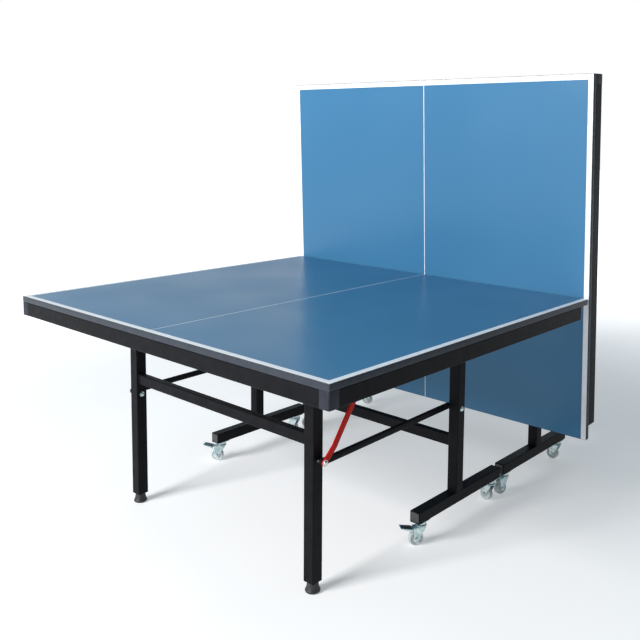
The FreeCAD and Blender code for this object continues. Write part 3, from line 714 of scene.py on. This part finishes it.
def nut_and_washer(radius):
    """Lock nut on a washer, with a domed collar, base at Z = 0."""
    collar = lathe([(radius * 0.62, 5.0), (radius * 0.62, 5.8), (radius * 0.5, 6.4), (0, 6.4)])
    return merged([washer(radius + 1.5, radius * 0.5, 1.2),
                   transformed(hex_head(radius * 1.65, 4.2), Matrix.Translation((0, 0, 1.0))), collar])


def spacer(length):
    """Short sleeve round a bolt, base at Z = 0, with its edges turned down."""
    return lathe([(4, 0), (6.4, 0), (7, 0.6), (7, length - 0.6), (6.4, length), (4, length)])


SHANK_RADIUS = 3.9
PIVOT_SHANK_RADIUS = 4.9
PIVOT_REACH = 6.8


def make_leg_bolts(suffix):
    """Bolts through the legs: lock nut inside, spacer to the link, then a nylon washer on the lever side."""
    y, z = LEVER_PIVOT.y, LEVER_PIVOT.z
    leg_in, leg_out = LEG_X - LEG_SIZE / 2, LEG_X + LEG_SIZE / 2
    link_out = LINK_OUTER + 0.3
    lever_out = LEVER[1].x + 0.3
    sets = []
    for side, face, nylon in ((1, lever_out, True), (-1, link_out, False)):
        disc = tinted(washer(10.0 if nylon else 8.5, 4.0, 1.6), 1 if nylon else 0)
        head = transformed(dome_head(6.6, 4.2), Matrix.Translation((0, 0, 1.4)))
        outside = transformed(merged([disc, head]), along_x(face, y, z))
        sleeve = transformed(spacer(LINK_INNER - leg_out - 0.4), along_x(leg_out + 0.1, y, z))
        inside = transformed(nut_and_washer(7.5), along_x(leg_in, y, z, -1))
        shank = transformed(rod(SHANK_RADIUS, leg_in - 6, face), along_x(0, y, z))
        bolt = merged([outside, sleeve, inside, shank])
        sets.append(bolt if side > 0 else transformed(bolt, MIRROR))
    piece("leg_bolt", merged(sets), [ZINC, NYLON], "leg", suffix, ["leg_bolts"])


def make_post_bolts(suffix):
    """Pivot bolts at the top of the posts and the link bolts below them."""
    y = PIVOT.y
    post_in, post_out = POSTS[1].x - POST_SIZE, POSTS[1].x
    saddle_in, saddle_out = post_in - PIVOT_REACH, post_out + PIVOT_REACH
    pivot_z, link_z = PIVOT.z, LINK_PIVOT.z
    pivot_out = transformed(nut_and_washer(7.8), along_x(saddle_out, y, pivot_z))
    pivot_in = transformed(dome_head(9.0, 2.6), along_x(saddle_in, y, pivot_z, -1))
    pivot_rod = rod(PIVOT_SHANK_RADIUS, saddle_in - 0.5, saddle_out + 1)
    pivot_shank = transformed(pivot_rod, along_x(0, y, pivot_z))
    link_face = LINK_INNER - 0.3
    link_in = transformed(dome_head(8.0, 4.6), along_x(link_face, y, link_z, -1))
    link_spacer = transformed(spacer(post_in - LINK_OUTER - 0.5), along_x(LINK_OUTER + 0.4, y, link_z))
    link_out = transformed(nut_and_washer(7.5), along_x(post_out, y, link_z))
    link_shank = transformed(rod(SHANK_RADIUS, link_face - 0.5, post_out + 6), along_x(0, y, link_z))
    bolts = merged([pivot_out, pivot_in, pivot_shank, link_in, link_spacer, link_out, link_shank])
    piece("post_bolt", both_sides(bolts), [ZINC], "trolley", suffix, ["post_bolts"])


def rectangle_path(x, low, high):
    """Corners of a rectangle in the plane of constant x, as a closed path."""
    return [(x, low[0], low[1]), (x, high[0], low[1]), (x, high[0], high[1]), (x, low[0], high[1])]


WELD = 2.1


def make_welds(suffix):
    """Weld beads where the crossbars meet legs and posts, and where the posts stand on the foot bars."""
    leg_x = LEG_BAR[1].x
    legs = bead(rectangle_path(leg_x, LEG_BAR[0].yz, LEG_BAR[1].yz), WELD, True)
    piece("leg_weld", both_sides(legs), [STEEL], "leg", suffix)
    post_x = TROLLEY_BAR[1].x
    cross = bead(rectangle_path(post_x, TROLLEY_BAR[0].yz, TROLLEY_BAR[1].yz), WELD, True)
    foot_z = POSTS[0].z
    inset = POST_SIZE / 2 - 3.0
    beads = [cross]
    for y in (POSTS[0].y, POSTS[1].y):
        beads.append(bead([(POST_X - inset, y, foot_z), (POST_X + inset, y, foot_z)], WELD))
    piece("trolley_weld", both_sides(merged(beads)), [STEEL], "trolley", suffix)


def make_plugs(suffix):
    """End plugs of the foot bars: grey, with a raised middle, inside the dark edge of the tube."""
    half = POST_SIZE / 2
    outline = rounded_rectangle((-half, -half), (half, half), 3.0)
    flange = beveled(prism(outline, "Z", -3.0, -0.8), 0.8, 2, 60)
    middle = beveled(prism(rounded_rectangle((-16, -16), (16, 16), 3.0), "Z", -1.5, 0.0), 0.6, 2, 60)
    inner = half - 1.7
    shank = prism(rounded_rectangle((-inner, -inner), (inner, inner), 1.5), "Z", -18.0, -2.5)
    plug = merged([tinted(flange, 1), tinted(middle, 0), tinted(shank, 0)])
    z = FOOT_BARS[0].z + half
    outer_end = FOOT_BARS[0].y - 3.0
    net_end = FOOT_BARS[1].y + 3.0
    ends = [copied(plug, Matrix.Translation((POST_X, outer_end, z)) @ Z_TO_Y.inverted()),
            transformed(plug, Matrix.Translation((POST_X, net_end, z)) @ Z_TO_Y)]
    piece("bar_plug", both_sides(merged(ends)), [PLUG_PLASTIC, STEEL], "trolley", suffix,
          ["bar_plugs"])


# Rails under the board, measured from the net line. The posts pass close by the rail nearer the
# net when a half is folded, so the screws are spaced to miss them.
CROSS_RAILS = (360.0, 1155.0)
RAIL_HALF_WIDTH = 15.0
RAIL_DEPTH = 16.0
LONG_RAIL_X = 250.0
NET_STRIP = (75.0, 4.0)
SCREW_PITCH = 235.0
RAIL_SCREW_RADIUS = 4.2
RAIL_WELD = 1.8
CAP_RISE = 2.6


def evenly(start, end, pitch):
    """Points from start to end, evenly spaced, as near to a pitch as they come."""
    steps = max(1, round((end - start) / pitch))
    return [start + (end - start) * i / steps for i in range(steps + 1)]


def rectangle_across_y(y, low, high):
    """Corners of a rectangle in the plane of constant y, as a closed path."""
    return [(low[0], y, low[1]), (high[0], y, low[1]), (high[0], y, high[1]), (low[0], y, high[1])]


def screw_below(x, y, z):
    """Screw head pointing down from a face at height z."""
    return hanging(dome_head(RAIL_SCREW_RADIUS, RAIL_SCREW_RADIUS * 0.55), x, y, z)


def make_rail_screws(suffix):
    """Screws that hold the rails and the strip near the net to the board."""
    low = BOARD_BOTTOM - RAIL_DEPTH
    reach = HALF_WIDTH - APRON_THICKNESS - 40
    screws = []
    for at in CROSS_RAILS:
        screws += [screw_below(x, -at, low) for x in evenly(-reach, reach, SCREW_PITCH)]
    spans = ((-CROSS_RAILS[1] + 50, -CROSS_RAILS[0] - 50), (END_Y + 60, -CROSS_RAILS[1] - 50))
    for side in (-1, 1):
        for start, end in spans:
            screws += [screw_below(side * LONG_RAIL_X, y, low) for y in evenly(start, end, SCREW_PITCH)]
    at, thickness = NET_STRIP
    screws += [screw_below(x, -at, BOARD_BOTTOM - thickness) for x in evenly(-670, 670, SCREW_PITCH)]
    piece("rail_screw", merged(screws), [ZINC], "half", suffix)


def make_rail_welds(suffix):
    """Weld beads where the rails meet the aprons and each other."""
    low, high = BOARD_BOTTOM - RAIL_DEPTH, BOARD_BOTTOM - 2
    inner = HALF_WIDTH - APRON_THICKNESS
    beads = []
    for at in CROSS_RAILS:
        for side in (-1, 1):
            ends = (-at - RAIL_HALF_WIDTH, low), (-at + RAIL_HALF_WIDTH, high)
            beads.append(bead(rectangle_path(side * inner, *ends), RAIL_WELD, True))
    joints = (END_Y + APRON_THICKNESS, -CROSS_RAILS[1] - RAIL_HALF_WIDTH,
              -CROSS_RAILS[1] + RAIL_HALF_WIDTH, -CROSS_RAILS[0] - RAIL_HALF_WIDTH)
    for y in joints:
        for side in (-1, 1):
            x = side * LONG_RAIL_X
            ends = (x - RAIL_HALF_WIDTH, low), (x + RAIL_HALF_WIDTH, high)
            beads.append(bead(rectangle_across_y(y, *ends), RAIL_WELD, True))
    piece("rail_weld", merged(beads), [STEEL], "half", suffix)


def tube_cap(x, y, z, half):
    """Plastic cap pressed into the open top of a square tube."""
    outline = rounded_rectangle((x - half, y - half), (x + half, y + half), 3.0)
    lid = beveled(prism(outline, "Z", z, z + CAP_RISE), 0.8, 2, 60)
    inner = half - 1.7
    shank = prism(rounded_rectangle((x - inner, y - inner), (x + inner, y + inner), 1.5), "Z", z - 6, z + 0.2)
    return merged([lid, shank])


def make_tube_caps(suffix):
    """Caps on the open tops of legs and posts, and in the net ends of the side aprons."""
    leg_caps = tube_cap(LEG_X, LEG_HINGE.y, LEGS[1].z, LEG_SIZE / 2)
    piece("leg_cap", both_sides(leg_caps), [PLUG_PLASTIC], "leg", suffix)
    post_caps = tube_cap(POST_X, PIVOT.y, POSTS[1].z, POST_SIZE / 2)
    piece("post_cap", both_sides(post_caps), [PLUG_PLASTIC], "trolley", suffix)
    centre = HALF_WIDTH - APRON_THICKNESS / 2
    half = APRON_THICKNESS / 2 - 0.3
    low, high = (centre - half, APRON_BOTTOM + 0.4), (centre + half, BOARD_BOTTOM - 0.4)
    net_end = SIDE_APRONS[1].y
    plug = beveled(prism(rounded_rectangle(low, high, 2.5), "Y", net_end, net_end + CAP_RISE), 0.8, 2, 60)
    piece("apron_plug", both_sides(plug), [PLUG_PLASTIC], "half", suffix)


def make_frames():
    for suffix in "ab":
        make_rail_screws(suffix)
        make_rail_welds(suffix)
        make_tube_caps(suffix)
        make_feet(suffix)
        make_links(suffix)
        make_lever(suffix)
        make_leg_bolts(suffix)
        make_post_bolts(suffix)
        make_welds(suffix)
        make_plugs(suffix)


# ---------------------------------------------------------------- castors

# A castor is built with its swivel axis at X = Y = 0, its wheel towards +X and the floor at Z = 0
WHEEL_RADIUS = 25.0
TRAIL = 18.0
AXLE = Matrix.Translation((TRAIL, 0, WHEEL_RADIUS)) @ Z_TO_Y
CROWN = 66.0
FORK_HALF = 14.0
FORK_SHEET = 2.5
PEDAL_PIVOT = (22.0, 57.0)
PEDAL_PIN = Matrix.Translation((PEDAL_PIVOT[0], 0, PEDAL_PIVOT[1])) @ Z_TO_Y
TREAD_START = 32.0
TREAD_LENGTH = 42.0


def fork_shape(braked):
    """Stamped fork with bent shoulders, raceway, axle bolt and, when braked, the pedal's pin."""
    lower = [(-13.0, CROWN - 5.0)] + arc((TRAIL, WHEEL_RADIUS), 9.0, 200, 352, 14) + [(29.0, CROWN - 5.0)]
    stations = [(x, FORK_HALF, CROWN, z) for x, z in lower]
    cheeks = beveled(channel(stations, FORK_SHEET, 4.0), 0.5, 1, 60)
    race = lathe([(6, CROWN - 0.5), (17.5, CROWN - 0.5), (19, CROWN + 0.6), (19, CROWN + 3.2),
                  (18.2, CROWN + 3.9), (16.0, CROWN + 3.9), (15.2, CROWN + 3.0), (6, CROWN + 3.0)], 48)
    axle = transformed(rod(SHANK_RADIUS, -FORK_HALF - 4, FORK_HALF + 4.5), AXLE)
    head = transformed(hex_head(11.5, 4.0), AXLE @ Matrix.Translation((0, 0, FORK_HALF)))
    nut = transformed(hanging(nut_and_washer(6.2), 0, 0, -FORK_HALF), AXLE)
    parts = [cheeks, race, axle, head, nut]
    if braked:
        parts.append(transformed(rod(2.4, -FORK_HALF - 0.8, FORK_HALF + 0.8), PEDAL_PIN))
    return merged(parts)


def wheel_shape():
    """Wheel with a rounded tread, recessed sides and ribs between hub and rim."""
    half = 10.0
    side = [(4.2, -half), (8.0, -half), (8.5, -half + 0.5), (8.8, -half + 3), (18.0, -half + 3),
            (18.6, -half + 0.6), (19.2, -half)] + arc((WHEEL_RADIUS - 4.5, -half + 4.5), 4.5, -90, 0, 7)
    profile = side + [(radius, -height) for radius, height in side[::-1]]
    body = lathe(profile, 64)
    for face in body.faces:
        centre = face.calc_center_median()
        face.material_index = 0 if centre.xy.length > 18.4 else 1
    ribs = []
    for i in range(6):
        for height in (-half + 1.6, half - 3.4):
            rib = block((8.4, -0.9, height), (18.3, 0.9, height + 1.8), 0.4, 1)
            ribs.append(tinted(transformed(rib, Matrix.Rotation(math.tau * i / 6, 4, "Z")), 1))
    return transformed(merged([body] + ribs), AXLE)


def pedal_shape():
    """Brake pedal: barrel, arm between the cheeks, channel-shaped tread with a ribbed dark pad."""
    x, z = PEDAL_PIVOT
    barrel = transformed(rod(5.0, -9.8, 9.8), PEDAL_PIN)
    arm = prism([(x, z), (36.0, z + 2.4), (36.0, z + 5.4), (x, z + 3.0)], "Y", -9.6, 9.6)
    stations = []
    for i in range(9):
        share = i / 8
        along = TREAD_START + TREAD_LENGTH * share
        top = z + 5.2 + 7.0 * share + 0.6 * share ** 3
        stations.append((along, 15.8 - 1.6 * share ** 3, top, top - 9.5 + 7.0 * share))
    tread = channel(stations, 1.8, 2.2)
    pads = []
    for i in range(9):
        at = TREAD_START + 3.0 + 4.0 * i
        height = z + 5.2 + 7.0 * (at + 1.5 - TREAD_START) / TREAD_LENGTH
        pads.append(block((at, -12.5, height - 0.5), (at + 3.0, 12.5, height + 0.9), 0.5, 2))
    metal = tinted(merged([barrel, beveled(arm, 0.5, 1), tread]), 0)
    return merged([metal, tinted(merged(pads), 1)])


def stem_shape():
    """Castor plate under the foot bar with the upper raceway, kingpin and four rivets."""
    bar = FOOT_BARS[0].z
    plate = beveled(prism(rounded_rectangle((-19, -28), (19, 28), 5), "Z", bar - 3, bar), 0.5, 2, 60)
    cup = lathe([(6, 70.6), (15.4, 70.6), (16.6, 71.8), (17.4, 76.5), (17.4, bar - 3), (6, bar - 3)], 48)
    pin = lathe([(0, 60.6), (6.5, 60.6), (8.8, 61.6), (8.8, 62.8), (8.4, 63.1), (5, 63.1), (5, 72), (0, 72)])
    parts = [plate, cup, pin]
    for x in (-13, 13):
        for y in (-22, 22):
            parts.append(hanging(dome_head(3.6, 2.0), x, y, bar - 3))
    return merged(parts)


def make_castors():
    stems = {"a": [], "b": []}
    for name in sorted(JOINTS):
        if not name.startswith("swivel_"):
            continue
        label = name.removeprefix("swivel_")
        suffix = label[-1]
        x, y, _ = JOINTS[name]["pos_m"]
        roll = JOINTS["roll_" + label]["pos_m"]
        heading = math.atan2(roll[1] - y, roll[0] - x)
        here = Matrix.Translation((x, y, 0)) @ Matrix.Rotation(heading, 4, "Z") @ Matrix.Scale(MM, 4)
        braked = "brake_" + label in JOINTS
        make("fork_" + label, transformed(fork_shape(braked), here), [ZINC], "fork_" + label,
             ["castor_fork_" + label])
        make("wheel_" + label, transformed(wheel_shape(), here), [WHEEL_PLASTIC, HUB_PLASTIC],
             "wheel_" + label, ["castor_wheel_" + label])
        if braked:
            make("pedal_" + label, transformed(pedal_shape(), here), [ZINC, PEDAL_PAD],
                 "pedal_" + label, ["brake_pedal_" + label])
        stems[suffix].append(transformed(stem_shape(), Matrix.Translation((x, y, 0)) @ Matrix.Scale(MM, 4)))
    for suffix, shapes in stems.items():
        make("castor_stem_" + suffix, merged(shapes), [ZINC], "trolley_" + suffix,
             ["castor_stems_" + suffix])


# ---------------------------------------------------------------- stage, light and camera

CAMERA_AT = (2.05115, -2.17673, 1.35006)
CAMERA_AZIMUTH = 0.69245
CAMERA_DOWN = 0.09998
CAMERA_ROLL = 0.01431
CAMERA_LENS = 45.07
CAMERA_SHIFT = (-0.10765, -0.1624)
KEY_LIGHT = (-1.2, -7.0, 3.8)
KEY_AIM = (0, 0.2, 0.8)
KEY_SIZE = (3.0, 2.5)
KEY_WATTS = 750.0
FLOOR_HALF = 30.0
FLOOR_THICKNESS = 0.02
# Where the white wall is brightest: behind the table, below the horizon
WHITE_WALL = (-0.63, 0.70, -0.33)
ROOM_DIM = (0.36, 0.36, 0.37)
ROOM_BRIGHT = (1.0, 1.0, 1.0)
# Between these cosines to the wall's direction the room goes from dim to bright
ROOM_FADE = (0.05, 0.55)
# Sines of the angles above the horizon between which the white wall ends, and the tint above it
WALL_END = (0.165, 0.225)
ABOVE_WALL = (0.40, 0.52, 0.60)


def make_camera():
    """Camera to the right of the set-up half's end, looking across the table and a little down."""
    forward = Vector((-math.sin(CAMERA_AZIMUTH) * math.cos(CAMERA_DOWN),
                      math.cos(CAMERA_AZIMUTH) * math.cos(CAMERA_DOWN), -math.sin(CAMERA_DOWN)))
    right = forward.cross(Vector((0, 0, 1))).normalized()
    up = right.cross(forward)
    cos, sin = math.cos(CAMERA_ROLL), math.sin(CAMERA_ROLL)
    axes = (right * cos + up * sin, up * cos - right * sin, -forward)
    data = bpy.data.cameras.new("camera")
    data.lens = CAMERA_LENS
    data.sensor_width = 36.0
    data.shift_x, data.shift_y = CAMERA_SHIFT
    camera = bpy.data.objects.new("camera", data)
    rotation = Matrix([[axis[row] for axis in axes] for row in range(3)]).to_4x4()
    camera.matrix_world = Matrix.Translation(CAMERA_AT) @ rotation
    bpy.context.scene.collection.objects.link(camera)
    bpy.context.scene.camera = camera


def make_light(name, at, towards, size, power):
    data = bpy.data.lights.new(name, "AREA")
    data.shape = "RECTANGLE"
    data.size, data.size_y = size
    data.energy = power
    light = bpy.data.objects.new(name, data)
    light.location = at
    light.rotation_euler = (Vector(towards) - Vector(at)).to_track_quat("-Z", "Y").to_euler()
    bpy.context.scene.collection.objects.link(light)


def make_world():
    """Soft white room behind the table, dimmer above its low wall and towards +X."""
    world = bpy.data.worlds.new("studio")
    bpy.context.scene.world = world
    world.use_nodes = True
    nodes = world.node_tree.nodes
    links = world.node_tree.links
    direction = nodes.new("ShaderNodeTexCoord").outputs["Generated"]
    room = color_ramp(nodes, ROOM_FADE, (ROOM_DIM, ROOM_BRIGHT))
    links.new(towards_wall(nodes, links, direction), room.inputs["Fac"])
    height = nodes.new("ShaderNodeSeparateXYZ")
    links.new(direction, height.inputs["Vector"])
    tint = color_ramp(nodes, WALL_END, (ROOM_BRIGHT, ABOVE_WALL))
    links.new(height.outputs["Z"], tint.inputs["Fac"])
    tinted_room = vector_math(nodes, "MULTIPLY")
    links.new(room.outputs["Color"], tinted_room.inputs[0])
    links.new(tint.outputs["Color"], tinted_room.inputs[1])
    links.new(tinted_room.outputs["Vector"], nodes["Background"].inputs["Color"])


def make_stage():
    """Plain pale floor and one large soft light in front of the table's end."""
    half = FLOOR_HALF
    floor = prism([(-half, -half), (half, -half), (half, half), (-half, half)], "Z", -FLOOR_THICKNESS, 0.0)
    mesh = bpy.data.meshes.new("floor")
    floor.to_mesh(mesh)
    floor.free()
    mesh.materials.append(FLOOR)
    made = bpy.data.objects.new("floor", mesh)
    bpy.context.scene.collection.objects.link(made)
    brighten_far_floor(near=1.5, far=6.0, dim=0.30, away=0.22, bright=1.3)
    make_light("key", KEY_LIGHT, KEY_AIM, KEY_SIZE, KEY_WATTS)


def main():
    bpy.context.scene.view_settings.view_transform = "Standard"
    make_camera()
    make_world()
    make_stage()
    finish_nodes()
    make_tops()
    make_frames()
    make_castors()


main()
